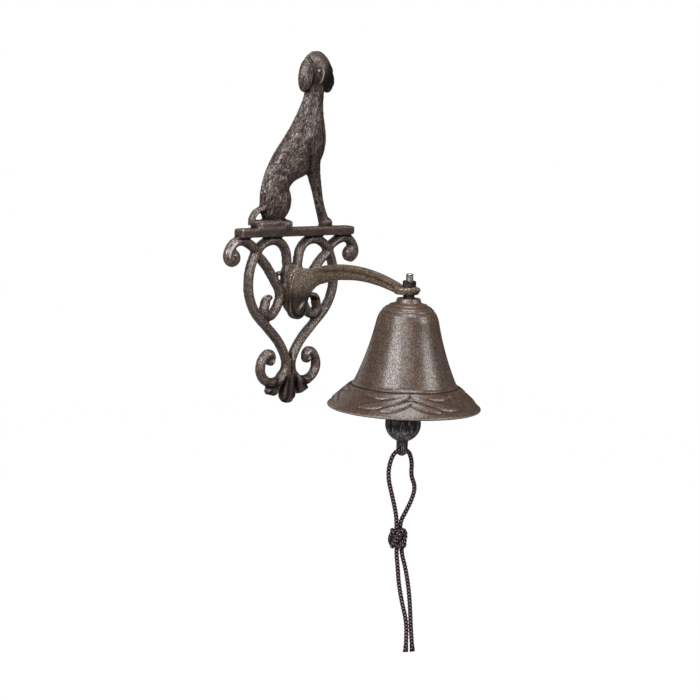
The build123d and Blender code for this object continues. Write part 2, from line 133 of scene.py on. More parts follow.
def lie_along(x, z, route):
    """How far each place on the wall is beside a line of points, along it and from it, in millimetres."""
    beside, along, apart = np.zeros(len(x)), np.zeros(len(x)), np.full(len(x), 1e9)
    start = 0.0
    for (x0, z0), (x1, z1) in zip(route, route[1:]):
        length = math.hypot(x1 - x0, z1 - z0)
        ux, uz = (x1 - x0) / length, (z1 - z0) / length
        run = np.clip((x - x0) * ux + (z - z0) * uz, 0, length)
        here = np.hypot(x - x0 - run * ux, z - z0 - run * uz)
        near = here < apart
        beside = np.where(near, (x - x0) * uz - (z - z0) * ux, beside)
        along = np.where(near, start + run, along)
        apart = np.where(near, here, apart)
        start += length
    return beside, along, apart


def mark(distance, width):
    """A soft mark of that half width, one at its middle and fading to nothing."""
    return np.exp(-(distance / width) ** 2)


def line_mark(x, z, route, width):
    """A soft mark along a line of points on the wall."""
    return mark(lie_along(x, z, route)[2], width)


def fade(values, start, width):
    """Zero up to the start and one from a width further on. A negative width runs the other way."""
    return np.clip((values - start) / width, 0, 1)


bracket = take_casting("wall_bracket", "bracket_casting", voxel=0.0009, passes=8)
points = read_points(bracket)
# Tips of the inner scrolls, drawn out and curled back towards the middle
tip_across, tip_start, tip_radius, tip_stretch, tip_taper = 28.7, -21.0, 4.6, 1.7, 0.03
tip_inner, tip_outer, tip_top = 23, 35, -13.5
wide = np.abs(points[:, 0])
climb = tip_stretch * (points[:, 2] - tip_start)
on_tip = (wide > tip_inner) & (wide < tip_outer) & (climb > 0) & (points[:, 2] < tip_top)
ring = tip_radius + (wide - tip_across) * (1 - tip_taper * climb)
curled = tip_across - tip_radius + ring * np.cos(climb / tip_radius)
points[:, 0] = np.where(on_tip, np.sign(points[:, 0]) * curled, points[:, 0])
points[:, 2] = np.where(on_tip, tip_start + ring * np.sin(climb / tip_radius), points[:, 2])
write_points(bracket, points, "wall_bracket")
# Crown of the bars and of the hound: their front rounds off towards its edges, the shelf stays flat
shelf_foot, shelf_top, shelf_half = 35, 44.0, 68
edge_fall, flat_from, most_fall = 3.6, 0.95, 0.7
points, out = read_points(bracket), read_normals(bracket)
x, z = points[:, 0], points[:, 2]
front = fade(-points[:, 1], 1.0, 2.0)
on_shelf = (z > shelf_foot) & (z < shelf_top + 0.5) & (np.abs(x) < shelf_half)
inward = spread(bracket, np.clip(-out[:, 1] * 2 - 0.6, 0, 1) * front, 12)
fallen = edge_fall * np.clip(flat_from - inward, 0, most_fall)
points[:, 1] += fallen * front * ~on_shelf * np.clip(-out[:, 1], 0, 1)
write_points(bracket, points, "wall_bracket")
out = read_normals(bracket)
on_hound = fade(z, shelf_top + 0.5, 2.0) * front
rise = np.zeros(len(points))
# Ear, cheek and mouth: lines pressed in or raised, each with its height, half width and points
face_lines = (
    (-0.15, 0.8, [(1, 188), (7, 184), (10.5, 178), (11, 171), (9.5, 164), (6, 158.5)]),
    (0.35, 1.2, [(0, 185), (7, 179), (8, 171), (6.5, 163)]),
    (0.8, 1.1, [(18.6, 177.5), (18.9, 172), (18, 167)]),
    (-0.6, 0.8, [(39, 164.5), (33, 163.8), (28, 166.5)]),
)
for height, width, route in face_lines:
    rise += height * line_mark(x, z, route, width)
# Eye: a small ball inside a sunk ring
eye_x, eye_z, eye_size, lid_size = 14.2, 178, 1.1, 2.1
eye_apart = np.hypot(x - eye_x, z - eye_z)
rise += 0.5 * mark(eye_apart, eye_size) - 0.55 * mark(np.abs(eye_apart - lid_size), 0.7)
# Shoulder, chest and thigh are set off by soft hollows, and the upper foreleg stands proud
shoulder_line = line_mark(x, z, [(3.5, 116), (5, 110), (7, 101), (10, 91)], 2.6)
chest_line = line_mark(x, z, [(20.5, 132), (22.8, 119), (22.4, 107), (21.5, 96)], 1.2)
thigh_line = line_mark(x, z, [(-35, 83), (-28, 90.5), (-18, 88.5), (-11, 81)], 1.7)
upper_leg = line_mark(x, z, [(9, 122), (11.5, 108), (14.5, 92)], 2.2)
rise += 0.5 * upper_leg - 1.0 * shoulder_line - 0.9 * chest_line - 0.8 * thigh_line
# Toes of both feet: each line's place on the shelf, slant and depth
toe_top = 51
for toe_x, slant, depth in ((-14.8, 0.6, 0.6), (-10.4, 0.6, 0.6), (36.5, 1.4, 0.5), (39.2, 1.4, 0.5)):
    rise -= depth * line_mark(x, z, [(toe_x, shelf_top), (toe_x - slant, toe_top)], 0.7) * (z < toe_top + 1)
# Curls of the coat: rings with these middles and sizes
curls = ((-17.5, 96.5, 2.4), (-5, 105, 1.6), (-13, 112, 1.6), (5.5, 128, 1.6), (-20, 70, 1.8))
for curl_x, curl_z, size in curls:
    rise -= 0.5 * mark(np.abs(np.hypot(x - curl_x, z - curl_z) - size), 0.75)
# Lie of the coat, along the spine and down the foreleg, in waving tufts that thin out on the face
spine_route = [(-24, 44), (-22, 66), (-12, 96), (7, 124), (16.5, 146), (18, 168), (20, 195)]
leg_route = [(17, 106), (21, 90), (28, 68), (35, 44)]
elbow, leg_half, shoulder_half, leg_shift = 92, 9.0, 5.0, 37.0
spine_across, spine_along, _ = lie_along(x, z, spine_route)
leg_across, leg_along, leg_apart = lie_along(x, z, leg_route)
on_leg = leg_apart < np.where(z < elbow, leg_half, shoulder_half)
across = np.where(on_leg, leg_across, spine_across)
along = np.where(on_leg, leg_along + leg_shift, spine_along)
face = fade(x, 11, 1.5) * fade(z, 161, 4)
furred = on_hound * fade(z, toe_top + 0.5, 3) * (1 - 0.7 * face)
tufts = np.sin(2.3 * across + 1.8 * np.sin(0.95 * along) + 0.9 * np.sin(2.0 * along + across))
rise += 0.2 * furred * tufts * (0.6 + 0.4 * np.sin(1.3 * along + 0.8 * across))
# Bridge of the nose, filled out between brow and muzzle
nose_x, nose_z, nose_size = 30.2, 178.0, 3.6
rise += 1.5 * mark(np.hypot(x - nose_x, z - nose_z), nose_size)
rise *= on_hound
# Rolled ends of the hooks and volutes: a groove round each middle
for middle_x, middle_z, size in ((66.3, 19.0, 4.6), (20.5, -71.5, 2.6)):
    apart = np.hypot(np.abs(x) - middle_x, z - middle_z)
    rise -= 0.75 * front * mark(np.abs(apart - size), 0.9) * (apart < size + 3)
# Folds and ribs of the palmette, fanning from the meeting of the two bars: angle, height and half width
fan_root, leaf_top, leaf_half, degrees_in_radian = -62.0, -84.0, 27, 57.3
fan = np.abs(np.degrees(np.arctan2(x, fan_root - z)))
mm_in_degree = np.hypot(x, z - fan_root) / degrees_in_radian
on_leaf = fade(z, leaf_top, -5.0) * front * (np.abs(x) < leaf_half)
folds = ((5.5, -0.9, 0.9), (13.5, -1.4, 1.1), (29.0, -1.1, 1.0))
ribs = ((0.0, 0.7, 2.0), (21.0, 0.7, 2.0), (36.0, 0.5, 2.0))
for angle, height, width in folds + ribs:
    rise += height * on_leaf * mark(np.abs(fan - angle) * mm_in_degree, width)
# Dark seam where the two bars meet
rise -= 1.4 * front * mark(np.abs(x), 0.8) * fade(z, -58.0, -3) * fade(z, -86, 5)
write_points(bracket, points + out * rise[:, None], "wall_bracket")
# Hands have worn the left hook and the left end of the shelf palest, and the same paleness is a painted
# highlight where the light from the left falls
handled_and_painted_highlight = 0.115 * mark(np.hypot(x + 72, z - 24), 12) + 0.06 * mark(np.hypot(x + 66, z - 40), 7)
# Painted light: faces turned up and to the left are paler and faces turned down are darker, as if lit from
# above and the left
painted_light_from_upper_left = 0.15 * (0.8 * out[:, 2] - 0.6 * out[:, 0]) * np.where(z < 36, 1.0, 0.5)
# On the hound, painted highlights lie on the cheek, eye, ear edge and upper foreleg, painted shade lies in
# the shoulder and chest hollows, and painted shade keeps the muzzle dark
muzzle = fade(x, 20, 7) * fade(z, 158, 3) * fade(z, 186, -4)
painted_hound_light = 0.4 * line_mark(x, z, [(18.4, 178), (17.8, 168)], 0.8) + 0.4 * mark(eye_apart, 0.9)
painted_hound_light += 0.08 * upper_leg - 0.07 * shoulder_line - 0.08 * chest_line
painted_hound_light += 0.16 * line_mark(x, z, [(4, 186), (8.5, 179), (9, 171), (8, 163), (5, 156)], 1.1)
# Painted shade darkens the palmette and the curled scroll tips, and the shelf and the face are a little
# darker
rubbed_and_painted_light = handled_and_painted_highlight + painted_light_from_upper_left - 0.3 * on_leaf - 0.1 * on_shelf - 0.3 * muzzle - 0.06 * face
rubbed_and_painted_light += painted_hound_light * on_hound - 0.48 * on_tip
mark_wear_and_painted_light(bracket, reach=8, gain=0.8, more=rubbed_and_painted_light)
give_attribute(bracket, "coat", np.stack([across, along * 0.3, points[:, 1] * 0.7], 1))
give_attribute(bracket, "fur", furred)
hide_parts("wall_bracket")
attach(bracket, "bracket")


class Wire:
    """A shader socket that takes part in sums: each operator adds a Math node beside it."""

    def __init__(self, tree, socket=None):
        self.tree, self.socket = tree, socket

    def node(self, kind, settings=None, inputs=None, output=0):
        """Add a node: its settings first, then the values or links of its sockets."""
        made = self.tree.nodes.new(kind)
        for key, value in (settings or {}).items():
            setattr(made, key, value)
        for key, value in (inputs or {}).items():
            if isinstance(value, Wire):
                self.tree.links.new(value.socket, made.inputs[key])
            elif hasattr(value, "__len__") and len(value) == 3 and made.inputs[key].type == "RGBA":
                made.inputs[key].default_value = (*value, 1)
            else:
                made.inputs[key].default_value = value
        return Wire(self.tree, made.outputs[output])

    def sum(self, operation, one, two):
        """Add a Math node."""
        return self.node("ShaderNodeMath", {"operation": operation}, {0: one, 1: two})

    def __add__(self, other):
        return self.sum("ADD", self, other)

    def __sub__(self, other):
        return self.sum("SUBTRACT", self, other)

    def __rsub__(self, other):
        return self.sum("SUBTRACT", other, self)

    def __mul__(self, other):
        return self.sum("MULTIPLY", self, other)

    __radd__ = __add__
    __rmul__ = __mul__

    def ramp(self, low, high):
        """Stretch the values between low and high to run from zero to one."""
        ends = {"Value": self, "From Min": low, "From Max": high}
        return self.node("ShaderNodeMapRange", {"clamp": True}, ends)

    def shade(self, one, two):
        """Mix two colours by this value."""
        return self.node("ShaderNodeMix", {"data_type": "RGBA"}, {0: self, 6: one, 7: two}, 2)


def new_material(name):
    """A material with an empty tree, its Principled shader wired to the output."""
    made = bpy.data.materials.new(name)
    made.use_nodes = True
    tree = made.node_tree
    tree.nodes.clear()
    shader = tree.nodes.new("ShaderNodeBsdfPrincipled")
    result = tree.nodes.new("ShaderNodeOutputMaterial")
    tree.links.new(shader.outputs[0], result.inputs[0])
    return made, Wire(tree), shader


def wire_up(wire, shader, colour, rough, height, depth, strength=1.0):
    """Feed colour, roughness and a bump of the given depth into the shader."""
    bump = wire.node("ShaderNodeBump", None, {"Strength": strength, "Distance": depth, "Height": height})
    for name, value in (("Base Color", colour), ("Roughness", rough), ("Normal", bump)):
        wire.tree.links.new(value.socket, shader.inputs[name])


def speckle(wire, vector, size, detail=3.0, rough=0.6):
    """Cloudy noise whose patches are about that many millimetres across."""
    return wire.node("ShaderNodeTexNoise", None,
                     {"Vector": vector, "Scale": 1000.0 / size, "Detail": detail, "Roughness": rough})


def cast_iron(name, deep, brown, pale, grain, depth, rub, sheen,
              streak=1.0, spark=0.0, soften=0.10, coat=False):
    """Sand-cast iron: a brown patina under thin wax, broken by sandy grain, pale where it is worn and where
    painted light is given, dark in hollows and painted shade.

    Grain is the sand's size in millimetres, depth its bump in metres and soften how gently it turns pale. Rub
    is how pale the whole is, sheen its wax, streak the stretch of its grain and spark its brightest specks.
    """
    made, wire, shader = new_material(name)
    place = wire.node("ShaderNodeTexCoord", None, None, 3)
    drawn = wire.node("ShaderNodeVectorMath", {"operation": "MULTIPLY"}, {0: place, 1: (1.0, 1.0, streak)})
    wear_and_painted_light = wire.node("ShaderNodeAttribute", {"attribute_name": "wear_and_painted_light"}, None, 2)
    cloud = speckle(wire, drawn, size=24.0, detail=4.0).ramp(0.34, 0.66)
    patch = speckle(wire, drawn, size=6.0, detail=4.0).ramp(0.36, 0.66)
    sand = speckle(wire, drawn, size=grain, detail=2.0, rough=0.5)
    pits = wire.node("ShaderNodeTexVoronoi", None, {"Vector": place, "Scale": 1000.0 / (grain * 1.3)})
    height = sand.ramp(0.25, 0.75) * 0.75 + pits.ramp(0.05, 0.5) * 0.25
    grains = sand.ramp(0.56 - soften, 0.56 + soften)
    # Below a half the stored value darkens the iron, for hollows and painted shade; above it pales it, for
    # worn edges and painted highlights
    hollow_and_painted_shade = wear_and_painted_light.ramp(0.48, 0.26)
    rubbed_and_painted_pale = wear_and_painted_light.ramp(0.48, 0.80) * 0.7 + patch * 0.2 + rub
    light = grains * rubbed_and_painted_pale + sand.ramp(0.60, 0.70) * spark
    if coat:
        lie = wire.node("ShaderNodeAttribute", {"attribute_name": "coat"}, None, 1)
        fur = wire.node("ShaderNodeAttribute", {"attribute_name": "fur"}, None, 2)
        hair = wire.node("ShaderNodeTexNoise", None,
                         {"Vector": lie, "Scale": 0.5, "Detail": 2.0, "Roughness": 0.5, "Distortion": 1.6})
        height = height * (1.0 - fur * 0.4) + hair.ramp(0.36, 0.64) * fur * 3.0
        light = light * (1.0 - fur * 0.4) + hair.ramp(0.54, 0.66) * fur * 0.42
        hollow_and_painted_shade = hollow_and_painted_shade + hair.ramp(0.48, 0.38) * fur * 0.75
    light = light.ramp(0.0, 1.0)
    hollow_and_painted_shade = hollow_and_painted_shade.ramp(0.0, 1.0)
    colour = (cloud * 0.5 + patch * 0.5).shade(deep, brown)
    colour = light.shade(colour, pale)
    colour = hollow_and_painted_shade.shade(colour, tuple(0.3 * c for c in deep))
    bare = wear_and_painted_light.ramp(0.90, 1.0)
    colour = bare.shade(colour, (0.72, 0.68, 0.64))
    rough = 0.6 - light * 0.2 + hollow_and_painted_shade * 0.15
    metal = light * 0.85 * (1.0 - bare)
    wax = sheen * (0.3 + grains * 0.7) * (1.0 - hollow_and_painted_shade * 0.8)
    for key, value in (("Metallic", metal), ("Coat Weight", wax)):
        wire.tree.links.new(value.socket, shader.inputs[key])
    shader.inputs["Coat Roughness"].default_value = 0.3
    shader.inputs["Coat IOR"].default_value = 2.2
    shader.inputs["Specular IOR Level"].default_value = 0.3
    wire_up(wire, shader, colour, rough, height, depth)
    return made


bracket.data.materials.append(cast_iron(
    "brown_bracket_iron", deep=(0.022, 0.0082, 0.0040), brown=(0.058, 0.0262, 0.0142),
    pale=(0.47, 0.382, 0.338), grain=1.0, depth=0.00018, rub=0.09, sheen=0.5, soften=0.125, coat=True))


# Arm: a second casting in olive-brown iron, screwed to the bracket's pad. A bead runs over its arch with a
# groove below it, its root swells to a bulb, and its end is a flat pad drilled for the bell's stud.
arm = take_casting("bell_arm", "arm_casting", voxel=0.0006, passes=5)
points, out = read_points(arm), read_normals(arm)
reach, level = -points[:, 1], points[:, 2]
# Pale chip below the bulb, where the casting was fettled
chip_x, chip_z, chip_half, chip_long, chip_slant = -0.7, -22.9, 1.5, 3.2, 0.33
chip_across = points[:, 0] - chip_x - chip_slant * (level - chip_z)
chip = mark(np.hypot(chip_across / chip_half, (level - chip_z) / chip_long), 1.0) * (reach > 15)
write_points(arm, points - out * (0.5 * chip)[:, None], "bell_arm")
# The bulb is paler above and darker below, as painted light and painted shade
painted_bulb_light = 0.22 * fade(reach, 44, -10) * fade(reach, 13, 2) * fade(level, -14, 12)
painted_bulb_light -= 0.22 * fade(level, -4, -12) * fade(reach, 34, -6)
mark_wear_and_painted_light(arm, reach=8, gain=0.9, more=painted_bulb_light + 1.3 * chip)
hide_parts("bell_arm")
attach(arm, "bracket")
arm.data.materials.append(cast_iron(
    "olive_arm_iron", deep=(0.036, 0.0175, 0.0072), brown=(0.098, 0.0525, 0.024), pale=(0.62, 0.53, 0.41),
    grain=1.0, depth=0.00016, rub=0.06, sheen=0.7, spark=0.35, soften=0.13))


# Arm screws: two countersunk machine screws of zinc-plated steel. They are driven from behind the bracket's
# pad into the arm's flange, so the wall hides them.
def plain_steel(name, dark, light, rough_low, rough_high):
    """Turned or plated steel: fine scratches and small stains."""
    made, wire, shader = new_material(name)
    place = wire.node("ShaderNodeTexCoord", None, None, 3)
    stain = speckle(wire, place, size=3.0, detail=4.0).ramp(0.3, 0.7)
    fine = speckle(wire, place, size=0.35, detail=2.0)
    colour = stain.shade(dark, light)
    rough = rough_low + stain * (rough_high - rough_low)
    shader.inputs["Metallic"].default_value = 1.0
    wire_up(wire, shader, colour, rough, fine, depth=0.00006, strength=0.5)
    return made


zinc = plain_steel("bright_zinc", (0.42, 0.41, 0.39), (0.68, 0.67, 0.64), 0.28, 0.45)
black_steel = plain_steel("blackened_steel", (0.035, 0.032, 0.030), (0.10, 0.09, 0.085), 0.35, 0.55)


def finish_node(node, material):
    """Give a solid that already has its true shape its finish."""
    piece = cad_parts[node]
    piece.data.materials.clear()
    piece.data.materials.append(material)


finish_node("arm_screws", zinc)


# Bell: a smoother thin iron casting, turned in profile, with a stepped crown button, fine rings on the
# shoulder, and a garland of slanted leaves below a groove on the skirt. It hangs on the stud.
reach_mm, crown = 151.0, -1.2


def turned(name, profile, sides):
    """Turn a closed profile of (radius, height) in millimetres round the bell's axis, ring by ring."""
    bpy.ops.object.select_all(action="DESELECT")
    (radius, height), rest = profile[0], profile[1:]
    bpy.ops.mesh.primitive_circle_add(
        vertices=sides, radius=radius / 1000, location=(0, -reach_mm / 1000, height / 1000))
    piece = bpy.context.object
    piece.name = name
    bpy.ops.object.transform_apply(location=True, rotation=True, scale=True)
    bpy.ops.object.mode_set(mode="EDIT")
    bpy.ops.mesh.select_all(action="SELECT")
    for next_radius, next_height in rest:
        up_by = (next_height - height) / 1000
        bpy.ops.mesh.extrude_edges_move(TRANSFORM_OT_translate={"value": (0, 0, up_by)})
        factor = next_radius / radius
        bpy.ops.transform.resize(value=(factor, factor, 1), center_override=(0, -reach_mm / 1000, 0))
        radius, height = next_radius, next_height
    bpy.ops.mesh.select_all(action="SELECT")
    bpy.ops.mesh.remove_doubles(threshold=0.000002)
    bpy.ops.mesh.normals_make_consistent(inside=False)
    bpy.ops.object.mode_set(mode="OBJECT")
    bpy.ops.object.shade_smooth()
    return piece


def three_point(start, through, end, steps):
    """Points of the arc through three places, the first left out."""
    (ax, ay), (bx, by), (cx, cy) = start, through, end
    a2, b2, c2 = ax * ax + ay * ay, bx * bx + by * by, cx * cx + cy * cy
    twice = 2 * (ax * (by - cy) + bx * (cy - ay) + cx * (ay - by))
    ux = (a2 * (by - cy) + b2 * (cy - ay) + c2 * (ay - by)) / twice
    uy = (a2 * (cx - bx) + b2 * (ax - cx) + c2 * (bx - ax)) / twice
    radius = math.hypot(ax - ux, ay - uy)
    first, last = math.atan2(ay - uy, ax - ux), math.atan2(cy - uy, cx - ux)
    turn = (last - first + math.pi) % (2 * math.pi) - math.pi
    angles = [first + turn * k / steps for k in range(1, steps + 1)]
    return [(ux + radius * math.cos(angle), uy + radius * math.sin(angle)) for angle in angles]


def straight(start, end, steps):
    """Even points of a straight run, the first left out."""
    return [(start[0] + (end[0] - start[0]) * k / steps, start[1] + (end[1] - start[1]) * k / steps)
            for k in range(1, steps + 1)]


# Profile, as radius and height: down the outside from the stud's hole to the rim, and back up the inside
hole, lip_radius, button_foot = 3.3, 62.0, (11.8, crown - 4.0)
under_crown, band_level, rim_level, rim_foot = crown - 7.0, crown - 68.0, crown - 88.2, crown - 90.4
shoulder, waist, band = (25.6, crown - 18.8), (30.6, crown - 38.7), (41.4, band_level)
skirt_top, skirt_foot = (42.1, band_level - 1.4), (lip_radius, rim_level + 0.6)
outside = [(hole, crown), (8.9, crown), (9.5, crown - 0.25), (9.75, crown - 0.8), (10.2, crown - 2.4),
           (10.5, crown - 3.3), (10.9, crown - 3.75), button_foot]
outside += three_point(button_foot, (20.77, crown - 9.4), shoulder, 26)
outside += three_point(shoulder, waist, band, 44)
outside += [(41.7, band_level - 0.6), skirt_top]
outside += straight(skirt_top, skirt_foot, 40)
outside += three_point(skirt_foot, (63.0, rim_level - 0.73), (lip_radius, rim_foot), 7)
inner_rim, inner_band, inner_shoulder = (58.8, rim_foot), (39.3, band_level - 4.2), (21.4, shoulder[1])
inside = straight((lip_radius, rim_foot), inner_rim, 3)
inside += straight(inner_rim, inner_band, 12)
inside += three_point(inner_band, (26.4, waist[1]), inner_shoulder, 18)
inside += three_point(inner_shoulder, (17.4, -13.1), (8.5, under_crown), 10)
inside += [(hole, under_crown), (hole, crown)]
bell = turned("bell_casting", outside + inside, 384)
points, out = read_points(bell), read_normals(bell)
dx, dy, level = points[:, 0], points[:, 1] + reach_mm, points[:, 2]
radius = np.hypot(dx, dy)
outer = out[:, 2] > -0.2
# Fine rings on the shoulder: how far below the crown, and how high
ring_lines = ((5.2, 0.3), (6.3, -0.25), (7.4, 0.3), (9.4, 0.36), (10.4, -0.3), (13.0, 0.2), (14.0, -0.16))
rings = sum(height * mark(level - (crown - drop), 0.45) for drop, height in ring_lines)
rings = rings * (outer & (radius > 11) & (radius < 25.5))
# Leaves: three fans of slanted blades, mirrored about the side that faces the viewer, who stands 42 degrees
# round to the left
view_cos, view_sin, fans, garland_turn, skirt_radius = 0.743, 0.669, 3, 0.075, 52.0
facing = math.atan2(-view_cos, -view_sin) + garland_turn
slope = np.array([skirt_foot[0] - skirt_top[0], skirt_foot[1] - skirt_top[1]])
slope_length = np.hypot(*slope)
down = ((radius - skirt_top[0]) * slope[0] + (level - skirt_top[1]) * slope[1]) / slope_length
turn = (np.arctan2(dy, dx) - facing + np.pi / fans) % (2 * np.pi / fans) - np.pi / fans
round_mm = np.abs(turn) * skirt_radius
on_skirt = outer & (radius > 41.5) & (level < band_level - 1.0) & (level > rim_level - 0.5)
leaves = np.zeros(len(points))
# Each blade's middle round the skirt and down it, its lean in degrees, length, half width and bow
blades = ((20, 6.6, 5, 42, 3.4, 1.0), (21, 14.0, 21, 44, 3.8, 1.6), (11, 17.2, 24, 27, 3.4, 1.0))
for middle, deep, lean_deg, length, half, bow in blades:
    lean = math.radians(lean_deg)
    du, dv = round_mm - middle, down - deep
    run = du * math.cos(lean) + dv * math.sin(lean)
    taper = np.clip(1 - (2 * run / length) ** 2, 0, 1)
    off = dv * math.cos(lean) - du * math.sin(lean) - bow * taper
    width = half * taper ** 0.6 + 1e-6
    dome = np.clip(1 - (off / width) ** 2, 0, 1) ** 0.6 * np.clip(width / 1.5, 0, 1)
    edge = mark(np.abs(np.abs(off) - width - 0.35), 0.5) * (taper > 0)
    leaves = np.maximum(leaves, dome * (0.95 - 0.22 * mark(off, 0.5))) - 0.25 * edge * (dome == 0)
# A bud near each end of a fan
bud_round, bud_down, bud_size = 40.0, 8.3, 2.2
leaves += 0.8 * mark(np.hypot(round_mm - bud_round, (down - bud_down) * 1.2), bud_size)
leaves = np.clip(leaves, -0.3, 1.0)
# Groove round the top of the skirt, which cuts through the leaves
groove_down, groove_half = 3.0, 0.7
groove = mark(down - groove_down, groove_half) * on_skirt
relief = np.where(groove > 0.3, np.minimum(leaves, 0), leaves) * on_skirt - 0.6 * groove + rings
write_points(bell, points + out * relief[:, None], "bell")
# The lip, the crown's edge and the tops of the leaves are rubbed, and the skirt is darker
lip = 0.5 * mark(level - (rim_level - 1.0), 1.0) * (radius > 61.8)
lip += 0.22 * mark(level - (crown - 0.4), 0.5)
proud = 0.55 * (relief - spread(bell, relief, 12))
skirt_dark = 0.06 * fade(level, band_level, -2.0)
give_attribute(bell, "wear_and_painted_light", np.clip(0.54 + proud + lip - 0.08 * groove - skirt_dark, 0, 1))
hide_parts("bell")
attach(bell, "bracket")
bell.data.materials.append(cast_iron(
    "worn_bell_iron", deep=(0.046, 0.0185, 0.0072), brown=(0.090, 0.0445, 0.0225), pale=(0.36, 0.31, 0.29),
    grain=0.9, depth=0.00008, rub=0.04, sheen=0.85, streak=0.75, soften=0.115))


# Eye bolt, nuts and washers: a zinc stud through the arm's pad and the bell's crown. Its nut and spacer above
# the crown are blackened, its nut and washer inside are bright, and its lower end is an eye.
finish_node("eye_bolt", zinc)
finish_node("top_nut", black_steel)
finish_node("seat_washer", black_steel)
finish_node("inner_washer", zinc)
finish_node("inner_nut", zinc)


# Clapper link: bent zinc wire, twisted into two crossed loops. The upper loop hangs in the bolt's eye and the
# lower one carries the clapper.
finish_node("clapper_link", zinc)


# Clapper: one dark iron casting with an eye, a stem, a fluted ball and a drilled tab for the cord. Like the
# bracket it is taken from its solid and softened, with a coarse streaky grain.
clapper = take_casting("clapper", "clapper_casting", voxel=0.0005, passes=4)
write_points(clapper, read_points(clapper), "clapper")
mark_wear_and_painted_light(clapper, reach=6, gain=2.4)
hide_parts("clapper")
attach(clapper, "clapper")
clapper.data.materials.append(cast_iron(
    "dark_clapper_iron", deep=(0.008, 0.0055, 0.005), brown=(0.022, 0.015, 0.014), pale=(0.46, 0.40, 0.385),
    grain=1.3, depth=0.0003, rub=0.25, sheen=1.0, streak=0.3))


# Cord: a plum-brown braided cord of eight strands round a core. It goes through the clapper's tab, is tied in
# one knot below it and ends in two loose tails with frayed ends.
cord_radius = 2.05
knot_top, knot_foot, cord_hole, tail_gap = -192.6, -209.8, -126.8, 1.2
loop_route = [
    (-2.1, knot_top), (-2.1, -186), (-4.6, -176), (-9.5, -162), (-14, -149), (-13.5, -137.5),
    (-7.8, cord_hole), (7.2, cord_hole),
    (12.4, -138), (11.6, -149.5), (17.4, -159.5), (14, -170), (7.4, -180), (2.1, -187), (2.1, knot_top),
]
left_route = [
    (-0.6, knot_foot), (-0.6, -214.5), (0.8, -224), (2.2, -238), (5.6, -254.5), (9.9, -270), (10.9, -283),
    (10.7, -297),
]
right_route = [
    (3.6, knot_foot), (3.6, -214), (7.4, -226), (11, -244), (12.8, -260), (14.4, -279), (16.4, -297),
]


def along_wall(route):
    """Route points of the loop, which lies across the tab, in metres."""
    return [(a / 1000, -reach_mm / 1000, h / 1000) for a, h in route]


def to_viewer(route, step):
    """Route points of a tail, which hangs side by side with the other as the viewer sees it, in metres."""
    return [((view_cos * a - view_sin * step) / 1000, (-reach_mm - view_sin * a - view_cos * step) / 1000,
             h / 1000) for a, h in route]


def cord_line(route):
    """Points of the smooth NURBS line that has these control points, in metres."""
    line = bpy.data.curves.new("cord_line", "CURVE")
    line.dimensions = "3D"
    line.resolution_u = 16
    spline = line.splines.new("NURBS")
    spline.points.add(len(route) - 1)
    for point, place in zip(spline.points, route):
        point.co = (*place, 1)
    spline.order_u = 3
    spline.use_endpoint_u = True
    holder = bpy.data.objects.new("cord_line", line)
    bpy.context.scene.collection.objects.link(holder)
    bpy.context.view_layer.update()
    mesh = bpy.data.meshes.new_from_object(holder.evaluated_get(bpy.context.evaluated_depsgraph_get()))
    places = np.array([tuple(v.co) for v in mesh.vertices])
    bpy.data.objects.remove(holder)
    return places


def even_steps(places, step):
    """The same line with points at an even spacing, and how far along it each one is."""
    lengths = np.concatenate([[0], np.cumsum(np.linalg.norm(np.diff(places, axis=0), axis=1))])
    at = np.linspace(0, lengths[-1], max(2, int(lengths[-1] / step)))
    return np.stack([np.interp(at, lengths, places[:, k]) for k in range(3)], 1), at


def side_vectors(places):
    """Two directions square to the line at each point, carried along without twisting."""
    ahead = np.gradient(places, axis=0)
    ahead /= np.linalg.norm(ahead, axis=1)[:, None]
    one = np.cross(ahead[0], (0.3, 0.2, 0.9) if abs(ahead[0][2]) < 0.9 else (1.0, 0.1, 0.0))
    ones = []
    for way in ahead:
        one = one - way * one.dot(way)
        one = one / np.linalg.norm(one)
        ones.append(one)
    ones = np.array(ones)
    return ones, np.cross(ahead, ones)


plaits, pitch, sides, plait_step = 8, 0.0116, 6, 0.00045
core_share, strand_share, strand_dip, strand_flat = 0.66, 0.40, 0.28, 1.25


